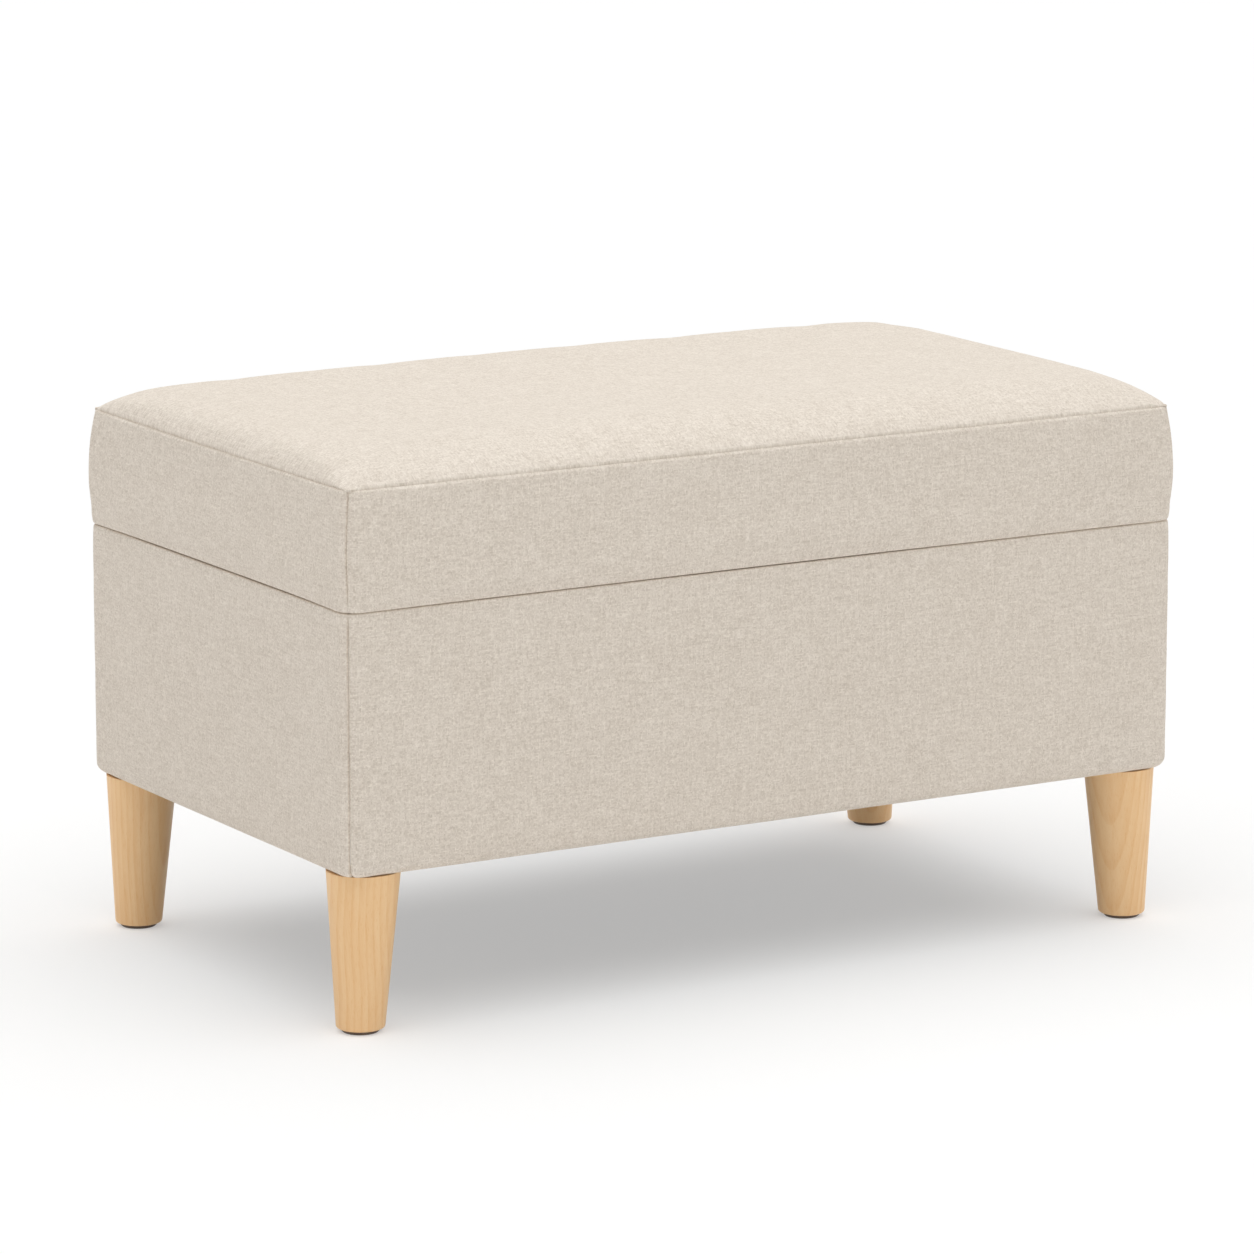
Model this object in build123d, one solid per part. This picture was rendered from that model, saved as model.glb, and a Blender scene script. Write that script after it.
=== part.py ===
from build123d import *
import os
from math import atan2, cos, degrees, hypot, sin

# Upholstered storage ottoman: a padded, fabric-covered box on four turned legs, closed by a
# hinged cushion lid that two folding stays hold open. Millimetres, +Z up, origin on the floor
# under the middle, +X along the length, front towards -Y.

# Driving dimensions of the whole
LENGTH = 776.0
DEPTH = 450.0
CORNER = 14.0          # plan radius of the covered corners
BASE_BOTTOM = 129.0    # underside of the box
GAP_Z = 339.0          # middle of the gap between box and lid, and height of the hinge axis
LID_GAP = 1.2
SEAM_Z = 434.0         # seam between the lid's side strips and its top panel
CROWN = 25.0           # rise of the lid's middle above that seam
LID_OPENS = 95.0       # degrees, where the stays stop the lid

# Upholstery
FABRIC = 1.25
PADDING = 6.75         # wadding between the boards and the fabric
BOTTOM_ROUND = FABRIC + PADDING
RIM_ROUND = 3.5
LID_ROUND = 4.5
BOX_TURN_UNDER = 20.0  # fabric turned under the box, counted from its outer face
LID_TURN_UNDER = 25.0
RIM_TURN_DOWN = 26.0   # fabric turned over the rim and down inside the box
SIDE_BULGE = 2.0       # lid sides swell this far beyond the box's faces at half height
SEAM_INSET = 3.0       # and are drawn in this far at the top seam
LINING = 1.0

CROWN_SPREAD = 110.0   # the crown levels out this far in from the seam
CROWN_STEPS = (0.1, 0.28, 0.55, 1.0)
CORNER_SPREAD = 0.55   # plan corners grow rounder towards the middle of the crown

# Boards
BOARD = 15.0
BATTEN = 20.0

# Legs: turned cones that lean slightly outwards
LEG_TOP_AT = (357.0, 193.0)
LEG_FOOT_AT = (361.3, 194.2)
LEG_TOP_R = 29.3
LEG_FOOT_R = 19.3
LEG_FOOT_ROUND = 2.5
GLIDE_R = 15.0
GLIDE_H = 3.0
BOLT_R = 4.0           # M8 hanger bolt
BOLT_IN_LEG = 34.0

# Butt hinges
HINGE_X = 235.0
HINGE_LENGTH = 65.0
KNUCKLES = 5
KNUCKLE_R = 2.6
PIN_R = 1.25
LEAF = FABRIC          # a leaf is as thick as the fabric it is let into
HINGE_INSET = 0.5      # axis in from the rear face

# Folding stays: the box pivot and the lid pivot from the hinge axis, as (forward, down)
BOX_PIVOT = (60.0, 104.0)
LID_PIVOT = (119.0, 14.0)
ARM_WIDTH = 15.0
ARM = 2.0
ARM_GAP = 0.5
RIVET_R = 3.0
RIVET_HEAD_R = 5.5
RIVET_HEAD = 1.25
FIT = 0.06             # radial play of a pivot
HEAD_PLAY = 0.15       # play under a rivet head
STOP_PLAY = 0.3

# Derived heights and faces
rim_z = GAP_Z - LID_GAP / 2
lid_z = GAP_Z + LID_GAP / 2
board_bottom = BASE_BOTTOM + FABRIC
floor_z = board_bottom + BOARD
wall_top = rim_z - FABRIC
lid_board_z = lid_z + FABRIC
lid_board_top = lid_board_z + BOARD
carcass_inset = BOTTOM_ROUND
wall_inset = carcass_inset + BOARD
carcass_x = LENGTH / 2 - carcass_inset
carcass_y = DEPTH / 2 - carcass_inset
wall_x = LENGTH / 2 - wall_inset
wall_y = DEPTH / 2 - wall_inset
lining_top = rim_z - RIM_TURN_DOWN
hinge_y = DEPTH / 2 - HINGE_INSET
SIDES = {"left": -1, "right": 1}
ENDS = {"front": -1, "back": 1}

os.makedirs("parts", exist_ok=True)


def save(name, shape):
    export_step(shape, f"parts/{name}.step")


def span(x0, x1, y0, y1, z0, z1):
    """A box between two corners."""
    middle = Pos((x0 + x1) / 2, (y0 + y1) / 2, (z0 + z1) / 2)
    return middle * Box(x1 - x0, y1 - y0, z1 - z0)


def plan(inset, z, radius=0.0):
    """The ottoman's plan drawn in by inset at height z."""
    size = (LENGTH - 2 * inset, DEPTH - 2 * inset)
    face = RectangleRounded(*size, radius) if radius else Rectangle(*size)
    return Pos(0, 0, z) * face


def block(inset, z0, z1, radius=0.0):
    return extrude(plan(inset, z0, radius), z1 - z0)


def sector(side):
    """The part of the plan that belongs to one face, cut at 45 degrees through the corners."""
    reach, depth = 30.0, 60.0
    x0, y0 = LENGTH / 2 + reach, DEPTH / 2 + reach
    x1, y1 = LENGTH / 2 - depth, DEPTH / 2 - depth
    if side in ENDS:
        s = ENDS[side]
        points = [(-x0, s * y0), (x0, s * y0), (x1, s * y1), (-x1, s * y1)]
    else:
        s = SIDES[side]
        points = [(s * x0, -y0), (s * x0, y0), (s * x1, y1), (s * x1, -y1)]
    return extrude(make_face(Polyline(*points, close=True)), SEAM_Z + CROWN)


def cone_screw(length, head_r, shank_r):
    """A countersunk screw with its head's face at the origin, pointing down."""
    head = head_r - shank_r
    tip = 2 * shank_r
    outline = Polyline(
        (0, 0), (head_r, 0), (shank_r, -head), (shank_r, tip - length), (0, -length), close=True
    )
    return revolve(Plane.XZ * make_face(outline), Axis.Z)


def group(shapes):
    """Separate solids kept in one node."""
    return Compound(children=[s.solid() for s in shapes])


# Carcass: four walls standing on a bottom board, with a batten in each corner
bottom_panel = block(carcass_inset, board_bottom, floor_z, BOTTOM_ROUND)
walls = {}
for end, s in ENDS.items():
    inner, outer = sorted((s * wall_y, s * carcass_y))
    walls[end] = span(-carcass_x, carcass_x, inner, outer, floor_z, wall_top)
for side, s in SIDES.items():
    inner, outer = sorted((s * wall_x, s * carcass_x))
    walls[side] = span(inner, outer, -wall_y, wall_y, floor_z, wall_top)

battens = {}
for end, sy in ENDS.items():
    for side, sx in SIDES.items():
        xs = sorted((sx * wall_x, sx * (wall_x - BATTEN)))
        ys = sorted((sy * wall_y, sy * (wall_y - BATTEN)))
        batten = span(*xs, *ys, floor_z, lining_top - 1)
        edge = batten.edges().filter_by(Axis.Z).sort_by_distance((0, 0, batten.center().Z))[0]
        battens[f"{end}_{side}"] = chamfer(edge, 2)

# Screws through the front and back boards into the side boards, and up through the bottom
CARCASS_SCREW = (40.0, 4.0, 2.0)
carcass_screws = []
for end, sy in ENDS.items():
    for sx in SIDES.values():
        for height in (0.2, 0.5, 0.8):
            z = floor_z + height * (wall_top - floor_z)
            place = Pos(sx * (carcass_x - BOARD / 2), sy * carcass_y, z) * Rot(X=-sy * 90)
            carcass_screws.append(place * cone_screw(*CARCASS_SCREW))
    for x in (-240, 0, 240):
        place = Pos(x, sy * (carcass_y - BOARD / 2), board_bottom) * Rot(X=180)
        carcass_screws.append(place * cone_screw(*CARCASS_SCREW))
for sx in SIDES.values():
    for y in (-90, 90):
        place = Pos(sx * (carcass_x - BOARD / 2), y, board_bottom) * Rot(X=180)
        carcass_screws.append(place * cone_screw(*CARCASS_SCREW))
bottom_panel -= carcass_screws
for name in walls:
    walls[name] -= carcass_screws
save("carcass_screws", group(carcass_screws))

# Wadding glued round the carcass
base_wadding = block(FABRIC, BASE_BOTTOM + BOTTOM_ROUND, rim_z - RIM_ROUND, CORNER - FABRIC)
base_wadding -= block(carcass_inset, BASE_BOTTOM, rim_z)
save("base_wadding", base_wadding)


# Fabric sleeve of the box: four panels sewn at the corners, turned under and over the rim
def covered_box(inset):
    shape = block(inset, BASE_BOTTOM + inset, rim_z - inset, CORNER - inset)
    low = shape.faces().sort_by(Axis.Z)[0].edges()
    shape = fillet(low, BOTTOM_ROUND - inset)
    high = shape.faces().sort_by(Axis.Z)[-1].edges()
    return fillet(high, RIM_ROUND - inset)


turned_face = wall_inset + FABRIC
sleeve = covered_box(0) - covered_box(FABRIC)
sleeve -= block(turned_face, wall_top, rim_z + 1)
sleeve -= block(BOX_TURN_UNDER, BASE_BOTTOM - 1, board_bottom)
turn_down = block(wall_inset, lining_top, rim_z) - block(turned_face, lining_top, rim_z)
sleeve += turn_down
base_cover = {side: sleeve & sector(side) for side in (*ENDS, *SIDES)}

# Lining of the storage space: a bag that follows the walls and the corner battens
def lining_outline(inset):
    x, y = wall_x - inset, wall_y - inset
    u, v = wall_x - BATTEN - inset, wall_y - BATTEN - inset
    corner = [(x, v), (u, v), (u, y)]
    ring = []
    for sx, sy, step in ((1, 1, 1), (-1, 1, -1), (-1, -1, 1), (1, -1, -1)):
        ring += [(sx * px, sy * py) for px, py in corner[::step]]
    return make_face(Polyline(*ring, close=True))


storage_lining = extrude(Pos(0, 0, floor_z) * lining_outline(0), lining_top - floor_z)
hollow_height = lining_top - floor_z - LINING
storage_lining -= extrude(Pos(0, 0, floor_z + LINING) * lining_outline(LINING), hollow_height)


# Legs, with their hanger bolts, threaded inserts and nail-on glides
def leg_pieces(sx, sy):
    top = Vector(sx * LEG_TOP_AT[0], sy * LEG_TOP_AT[1], BASE_BOTTOM)
    foot = Vector(sx * LEG_FOOT_AT[0], sy * LEG_FOOT_AT[1], GLIDE_H)
    axis = (top - foot).normalized()
    length = (top - foot).length
    spare = 4.0
    flare = (LEG_TOP_R - LEG_FOOT_R) / length * spare
    stand = (Align.CENTER, Align.CENTER, Align.MIN)
    cone = Cone(LEG_FOOT_R - flare, LEG_TOP_R + flare, length + 2 * spare, align=stand)
    leg = Plane(foot - axis * spare, z_dir=axis) * cone
    leg &= block(-LEG_TOP_R, GLIDE_H, BASE_BOTTOM)
    leg = fillet(leg.faces().sort_by(Axis.Z)[0].edges(), LEG_FOOT_ROUND)
    along = Plane(top, z_dir=axis)
    in_panel = BOARD - 1
    bolt_outline = Polyline(
        (0, -BOLT_IN_LEG), (BOLT_R, BOLT_R - BOLT_IN_LEG), (BOLT_R, in_panel), (0, in_panel), close=True
    )
    bolt = along * revolve(Plane.XZ * make_face(bolt_outline), Axis.Z)
    sleeve_r, flange_r, flange = BOLT_R + 2.5, BOLT_R + 4, 1.5
    insert_low = FABRIC + 0.3
    insert_outline = Polyline(
        (BOLT_R, insert_low), (flange_r, insert_low), (flange_r, insert_low + flange),
        (sleeve_r, insert_low + flange), (sleeve_r, in_panel), (BOLT_R, in_panel), close=True,
    )
    insert = along * revolve(Plane.XZ * make_face(insert_outline), Axis.Z)
    nail_r, nail = 1.5, 14.0
    disc = Polyline(
        (0, 0), (GLIDE_R - 1, 0), (GLIDE_R, 1), (GLIDE_R, GLIDE_H), (nail_r, GLIDE_H),
        (nail_r, GLIDE_H + nail - nail_r), (0, GLIDE_H + nail), close=True,
    )
    glide = Pos(foot.X, foot.Y, 0) * revolve(Plane.XZ * make_face(disc), Axis.Z)
    return leg - bolt - glide, bolt, insert, glide


bolts, inserts, leg_holes = [], [], []
for end, sy in ENDS.items():
    for side, sx in SIDES.items():
        leg, bolt, insert, glide = leg_pieces(sx, sy)
        save(f"{end}_{side}_leg", leg)
        save(f"{end}_{side}_glide", glide)
        bolts.append(bolt)
        inserts.append(insert)
        hole_r = LEG_TOP_R + 1.5
        leg_hole = Pos(sx * LEG_TOP_AT[0], sy * LEG_TOP_AT[1], BASE_BOTTOM) * Cylinder(hole_r, 10)
        leg_holes.append(leg_hole)
bottom_panel = bottom_panel - inserts - bolts
save("leg_bolts", group(bolts))
save("insert_nuts", group(inserts))

# Dust cover under the box, cut round the legs
dust_cover = block(BOX_TURN_UNDER, BASE_BOTTOM, board_bottom) - leg_holes
save("dust_cover", dust_cover)


# Lid: board, foam block with its crown, wadding and a cover of a top panel and four side strips
def side_inset(z):
    """How far the lid's side stands in from the box's face: a bow from the rim to the seam."""
    half = (SEAM_Z - lid_z) / 2
    t = (z - lid_z - half) / half
    low = 0.5
    bow = (SEAM_INSET + low) / 2 + SIDE_BULGE
    return -SIDE_BULGE + bow * t * t + (SEAM_INSET - low) / 2 * t


def lid_sides(inset, z0):
    levels = (z0, (z0 + SEAM_Z) / 2, SEAM_Z)
    return loft([plan(side_inset(z) + inset, z, CORNER - inset) for z in levels])


def lid_crown(inset):
    sections = [plan(SEAM_INSET + inset, SEAM_Z, CORNER - inset)]
    for step in CROWN_STEPS:
        away = step * CROWN_SPREAD
        rise = (CROWN - inset) * (1 - (1 - step) ** 4)
        radius = CORNER - inset + CORNER_SPREAD * away
        sections.append(plan(SEAM_INSET + inset + away, SEAM_Z + rise, radius))
    return loft(sections)


def rounded_below(shape, radius):
    return fillet(shape.faces().sort_by(Axis.Z)[0].edges(), radius)


foam_inset = carcass_inset
lid_board = block(carcass_inset + 0.5, lid_board_z, lid_board_top, CORNER - carcass_inset)
lid_foam = lid_sides(foam_inset, lid_board_top) + lid_crown(foam_inset)
lid_inside = rounded_below(lid_sides(FABRIC, lid_board_z), LID_ROUND - FABRIC)
lid_outside = rounded_below(lid_sides(0, lid_z), LID_ROUND)
lid_wadding = lid_inside + lid_crown(FABRIC)
lid_wadding -= lid_sides(foam_inset, lid_board_z) + lid_crown(foam_inset)
lid_cover_top = lid_crown(0) - lid_crown(FABRIC)
side_strip = lid_outside - lid_inside - block(LID_TURN_UNDER, lid_z - 1, lid_board_z)
lid_strips = {side: side_strip & sector(side) for side in (*ENDS, *SIDES)}
lid_lining = block(LID_TURN_UNDER, lid_board_z - LINING, lid_board_z)
save("lid_foam", lid_foam)
save("lid_cover_top", lid_cover_top)


# Butt hinges let into the fabric along the rear edge, knuckles in the groove behind
def along_x(radius, x0, x1):
    place = Pos((x0 + x1) / 2, hinge_y, GAP_Z) * Rot(Y=90)
    return place * Cylinder(radius, x1 - x0)


def hinge_leaf(middle, own, z0, z1):
    """A leaf with its knuckles, cleared round the other leaf's knuckles."""
    x0 = middle - HINGE_LENGTH / 2
    pitch = HINGE_LENGTH / KNUCKLES
    clear = 0.3
    corner_r = 3.0
    front = wall_y + 1
    leaf = span(x0, x0 + HINGE_LENGTH, front, hinge_y, z0, z1)
    leaf = fillet(leaf.edges().filter_by(Axis.Z).sort_by(Axis.Y)[:2], corner_r)
    for i in range(KNUCKLES):
        start, stop = x0 + i * pitch, x0 + (i + 1) * pitch
        if i % 2 == own:
            leaf += along_x(KNUCKLE_R, start + clear / 2, stop - clear / 2)
        else:
            leaf -= along_x(KNUCKLE_R + clear, start - clear / 2, stop + clear / 2)
    return leaf - along_x(PIN_R + FIT, x0 - 1, x0 + HINGE_LENGTH + 1)


def hinge_pin(middle):
    half = HINGE_LENGTH / 2
    head = 1.2
    pin = along_x(PIN_R, middle - half, middle + half)
    for sx in (-1, 1):
        ends = sorted((middle + sx * half, middle + sx * (half + head)))
        pin += along_x(KNUCKLE_R - 0.2, *ends)
    return pin


HINGE_SCREW = (16.0, 2.8, 1.6)
hinge_screw_y = (wall_y + carcass_y) / 2
base_hinge_screws, lid_hinge_screws, hinge_notches = [], [], []
for side, sx in SIDES.items():
    middle = sx * HINGE_X
    base_places = [Pos(middle + dx, hinge_screw_y, rim_z) for dx in (-24, 0, 24)]
    lid_places = [Pos(middle + dx, hinge_screw_y, lid_z) * Rot(X=180) for dx in (-24, 0, 24)]
    base_screws = [p * cone_screw(*HINGE_SCREW) for p in base_places]
    lid_screws = [p * cone_screw(*HINGE_SCREW) for p in lid_places]
    base_leaf = hinge_leaf(middle, 0, rim_z - LEAF, rim_z) - base_screws
    lid_leaf = hinge_leaf(middle, 1, lid_z, lid_z + LEAF) - lid_screws
    save(f"{side}_hinge_base_leaf", base_leaf)
    save(f"{side}_hinge_lid_leaf", lid_leaf)
    save(f"{side}_hinge_pin", hinge_pin(middle))
    base_hinge_screws += base_screws
    lid_hinge_screws += lid_screws
    reach = HINGE_LENGTH / 2 + 2
    hinge_notches.append(along_x(KNUCKLE_R + 0.7, middle - reach, middle + reach))
    notch_top, notch_low = lid_z + LEAF, rim_z - LEAF
    hinge_notches.append(
        span(middle - reach, middle + reach, wall_y + 0.5, hinge_y, notch_low, notch_top)
    )
walls["back"] -= base_hinge_screws
lid_board -= lid_hinge_screws
base_cover["back"] -= hinge_notches
lid_strips["back"] -= hinge_notches
lid_wadding -= hinge_notches
save("base_hinge_screws", group(base_hinge_screws))
save("lid_hinge_screws", group(lid_hinge_screws))
save("lid_wadding", lid_wadding)
for side in base_cover:
    save(f"base_cover_{side}", base_cover[side])
    save(f"lid_cover_{side}", lid_strips[side])

# Folding stays, drawn for the left side in the plane of the side wall and mirrored for the
# right. Box pivot, elbow, lid pivot and hinge axis are the corners of a parallelogram.
stay_x = -wall_x + LINING
box_pivot = (hinge_y - BOX_PIVOT[0], GAP_Z - BOX_PIVOT[1])
lid_pivot = (hinge_y - LID_PIVOT[0], GAP_Z - LID_PIVOT[1])
elbow = (box_pivot[0] - LID_PIVOT[0], box_pivot[1] - LID_PIVOT[1])
plate_s = (0.0, ARM)
lower_s = (plate_s[1] + ARM_GAP, plate_s[1] + ARM_GAP + ARM)
upper_s = (lower_s[1] + ARM_GAP, lower_s[1] + ARM_GAP + ARM)
flange_s = (upper_s[1] + ARM_GAP, upper_s[1] + ARM_GAP + ARM)


def layer(face, s):
    """A flat shape in the wall's plane, thick between two distances from the lining."""
    return extrude(Plane.YZ.offset(stay_x + s[0]) * face, s[1] - s[0])


def at(point, face):
    return Pos(*point) * face


def bar(p, q, width):
    """A strip with round ends centred on two points."""
    turn = degrees(atan2(q[1] - p[1], q[0] - p[0]))
    middle = Pos((p[0] + q[0]) / 2, (p[1] + q[1]) / 2)
    return middle * Rot(Z=turn) * SlotCenterToCenter(hypot(q[0] - p[0], q[1] - p[1]), width)


def rivet(point, shank, heads):
    shape = layer(at(point, Circle(RIVET_R)), shank)
    for s in heads:
        shape += layer(at(point, Circle(RIVET_HEAD_R)), s)
    return shape


# Box bracket, screwed through the lining to the side board
bracket_reach = 24.0
bracket_ends = [(box_pivot[0], box_pivot[1] + dz) for dz in (-bracket_reach, bracket_reach)]
STAY_SCREW = (14.0, 3.4, 1.7)
box_bracket_screws = [
    Pos(stay_x + ARM, y, z) * Rot(Y=90) * cone_screw(*STAY_SCREW) for y, z in bracket_ends
]
box_rivet = rivet(
    box_pivot, (plate_s[0], lower_s[1] + HEAD_PLAY),
    [(lower_s[1] + HEAD_PLAY, lower_s[1] + HEAD_PLAY + RIVET_HEAD)],
)
box_bracket = layer(bar(*bracket_ends, 20), plate_s) - box_bracket_screws - box_rivet

# Lower arm: runs past the elbow and carries a lug that stops the upper arm when the lid is open
arm_angle = atan2(elbow[1] - box_pivot[1], elbow[0] - box_pivot[0])
past_elbow = 14.0
arm_end = (elbow[0] + past_elbow * cos(arm_angle), elbow[1] + past_elbow * sin(arm_angle))
elbow_shank = (lower_s[0], upper_s[1] + HEAD_PLAY)
elbow_heads = [
    (lower_s[0] - RIVET_HEAD, lower_s[0]),
    (upper_s[1] + HEAD_PLAY, upper_s[1] + HEAD_PLAY + RIVET_HEAD),
]
elbow_rivet = rivet(elbow, elbow_shank, elbow_heads)
upper_angle = degrees(atan2(lid_pivot[1] - elbow[1], lid_pivot[0] - elbow[0]))
lug_length, lug_width, lug_away = 6.0, 2.5, 12.0
lug_side = ARM_WIDTH / 2 + STOP_PLAY + lug_width / 2
lug = Pos(*elbow) * Rot(Z=upper_angle + LID_OPENS) * Pos(lug_away, lug_side)
lug = lug * Rectangle(lug_length, lug_width)
lower_arm = layer(bar(box_pivot, arm_end, ARM_WIDTH), lower_s)
lower_arm += layer(lug, (lower_s[1], upper_s[1]))
lower_arm -= layer(at(box_pivot, Circle(RIVET_R + FIT)), lower_s)
lower_arm -= elbow_rivet

# Upper arm
upper_holes = [layer(at(p, Circle(RIVET_R + FIT)), upper_s) for p in (elbow, lid_pivot)]
upper_arm = layer(bar(lid_pivot, elbow, ARM_WIDTH), upper_s) - upper_holes

# Lid bracket: an angle screwed to the lid board through the lining
lid_plate_z = lid_board_z - LINING
lid_bracket_half, foot_width = 20.0, 20.0
cheek_top = Pos(lid_pivot[0], lid_plate_z - ARM / 2) * Rectangle(2 * lid_bracket_half, ARM)
cheek_edges = cheek_top.edges() + at(lid_pivot, Circle(9)).edges()
lid_bracket = layer(make_hull(cheek_edges), flange_s)
bracket_y = (lid_pivot[0] - lid_bracket_half, lid_pivot[0] + lid_bracket_half)
foot_x = (stay_x + flange_s[0], stay_x + flange_s[0] + foot_width)
lid_bracket += span(*foot_x, *bracket_y, lid_plate_z - ARM, lid_plate_z)
lid_bracket_screws = [
    Pos(foot_x[1] - 8, lid_pivot[0] + dy, lid_plate_z - ARM) * Rot(X=180) * cone_screw(*STAY_SCREW)
    for dy in (-12, 12)
]
lid_rivet = rivet(
    lid_pivot, (upper_s[0] - HEAD_PLAY, flange_s[1]),
    [
        (upper_s[0] - HEAD_PLAY - RIVET_HEAD, upper_s[0] - HEAD_PLAY),
        (flange_s[1], flange_s[1] + RIVET_HEAD),
    ],
)
lid_bracket = lid_bracket - lid_bracket_screws - lid_rivet


def for_side(side, shape):
    return shape if side == "left" else mirror(shape, Plane.YZ)


single_pieces = {
    "stay_box_bracket": box_bracket, "stay_lower_arm": lower_arm, "stay_elbow_rivet": elbow_rivet,
    "stay_upper_arm": upper_arm, "stay_lid_bracket": lid_bracket,
}
for side in SIDES:
    for name, shape in single_pieces.items():
        save(f"{side}_{name}", for_side(side, shape))
box_screws = [for_side(side, s) for side in SIDES for s in box_bracket_screws]
lid_screws = [for_side(side, s) for side in SIDES for s in lid_bracket_screws]
save("stay_box_screws", group(box_screws))
save("stay_lid_screws", group(lid_screws))
save("stay_box_rivets", group([for_side(side, box_rivet) for side in SIDES]))
save("stay_lid_rivets", group([for_side(side, lid_rivet) for side in SIDES]))

# Boards and linings, with every screw's hole in them
storage_lining -= box_screws
lid_lining -= lid_screws
lid_board -= lid_screws
for side in SIDES:
    walls[side] -= box_screws
save("bottom_panel", bottom_panel)
for name, wall in walls.items():
    save(f"{name}_panel", wall)
for name, batten in battens.items():
    save(f"{name}_batten", batten)
save("storage_lining", storage_lining)
save("lid_board", lid_board)
save("lid_lining", lid_lining)
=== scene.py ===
import math

import bmesh
import bpy
import numpy as np
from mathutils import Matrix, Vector, noise


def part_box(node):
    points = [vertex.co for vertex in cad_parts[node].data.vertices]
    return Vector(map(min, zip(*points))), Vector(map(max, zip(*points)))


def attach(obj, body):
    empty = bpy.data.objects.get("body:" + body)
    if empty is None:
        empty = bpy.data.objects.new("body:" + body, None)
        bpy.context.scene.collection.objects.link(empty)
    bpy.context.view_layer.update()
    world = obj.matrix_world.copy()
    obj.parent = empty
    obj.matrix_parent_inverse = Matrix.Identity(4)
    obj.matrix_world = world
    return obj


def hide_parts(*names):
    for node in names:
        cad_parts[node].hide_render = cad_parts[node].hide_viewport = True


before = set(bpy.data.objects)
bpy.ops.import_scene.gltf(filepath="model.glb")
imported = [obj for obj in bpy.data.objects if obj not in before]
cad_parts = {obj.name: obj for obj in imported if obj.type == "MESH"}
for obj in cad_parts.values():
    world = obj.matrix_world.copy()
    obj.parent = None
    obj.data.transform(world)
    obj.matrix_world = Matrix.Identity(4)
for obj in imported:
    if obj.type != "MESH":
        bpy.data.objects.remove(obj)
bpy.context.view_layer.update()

# Carcass boards: five panels of 15 mm birch plywood, glued and screwed into an open box, and a sixth
# that stiffens the lid. Thin plies show as stripes on every sawn edge, long grain on the faces.
MM = 0.001


def plug(tree, value, socket):
    """Link a socket, or set a plain value."""
    if isinstance(value, bpy.types.NodeSocket):
        tree.links.new(value, socket)
    else:
        socket.default_value = value


def add(tree, kind, inputs=None, **settings):
    made = tree.nodes.new(kind)
    for key, value in settings.items():
        setattr(made, key, value)
    for key, value in (inputs or {}).items():
        plug(tree, value, made.inputs[key])
    return made


def calc(tree, operation, *values, clamp=False):
    made = add(tree, "ShaderNodeMath", operation=operation, use_clamp=clamp)
    for socket, value in zip(made.inputs, values):
        plug(tree, value, socket)
    return made.outputs[0]


def mixed(tree, share, first, second):
    made = add(tree, "ShaderNodeMix", data_type="RGBA")
    for index, value in ((0, share), (6, first), (7, second)):
        plug(tree, value, made.inputs[index])
    return made.outputs[2]


def spread(tree, value, low, high):
    """Stretch a noise's middle range to 0..1."""
    ranged = add(tree, "ShaderNodeMapRange", {"Value": value, "From Min": low, "From Max": high})
    return ranged.outputs["Result"]


def speckle(tree, vector, scale, detail=2.0, **inputs):
    return add(tree, "ShaderNodeTexNoise", {"Vector": vector, "Scale": scale, "Detail": detail, **inputs})


def stretched(tree, parts, across, along):
    """Coordinates drawn out along the third part, for grain and yarn."""
    return add(tree, "ShaderNodeCombineXYZ", {
        "X": calc(tree, "MULTIPLY", parts[0], across),
        "Y": calc(tree, "MULTIPLY", parts[1], across),
        "Z": calc(tree, "MULTIPLY", parts[2], along),
    }).outputs[0]


def weighed(tree, first, first_weight, second, second_weight):
    """Two values added up, each times its weight."""
    return calc(tree, "ADD", calc(tree, "MULTIPLY", first, first_weight),
                calc(tree, "MULTIPLY", second, second_weight))


def raised(tree, base, value, reach):
    """A base that rises by reach as value goes from 0 to 1."""
    return calc(tree, "ADD", base, calc(tree, "MULTIPLY", value, reach))


def wandered(tree, vector, scale, reach):
    """The parts of a place pushed about by slow noise, so that grain and yarn do not run dead straight."""
    push = speckle(tree, vector, scale, 1.0).outputs["Color"]
    shift = add(tree, "ShaderNodeVectorMath", {0: push, 1: (reach, reach, 0.0)}, operation="MULTIPLY")
    moved = add(tree, "ShaderNodeVectorMath", {0: vector, 1: shift.outputs[0]}, operation="ADD")
    return add(tree, "ShaderNodeSeparateXYZ", {0: moved.outputs[0]}).outputs


def node_group(name, inputs, outputs):
    tree = bpy.data.node_groups.new(name, "ShaderNodeTree")
    for label, kind, value in inputs:
        socket = tree.interface.new_socket(label, in_out="INPUT", socket_type=f"NodeSocket{kind}")
        socket.default_value = value
    for label, kind in outputs:
        tree.interface.new_socket(label, in_out="OUTPUT", socket_type=f"NodeSocket{kind}")
    return tree, tree.nodes.new("NodeGroupInput").outputs, tree.nodes.new("NodeGroupOutput").inputs


def new_finish(name):
    material = bpy.data.materials.new(name)
    material.use_nodes = True
    return material, material.node_tree, material.node_tree.nodes["Principled BSDF"]


def surface(tree, shader, colour, roughness, height, strength, depth):
    """Feed a finish's colour, roughness and relief to its shader."""
    bump = add(tree, "ShaderNodeBump", {"Height": height, "Strength": strength, "Distance": depth})
    for label, value in (("Base Color", colour), ("Roughness", roughness), ("Normal", bump.outputs[0])):
        plug(tree, value, shader.inputs[label])


def dress(names, material):
    """Give carried-over pieces their finish."""
    for name in names:
        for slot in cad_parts[name].material_slots:
            slot.material = material


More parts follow.
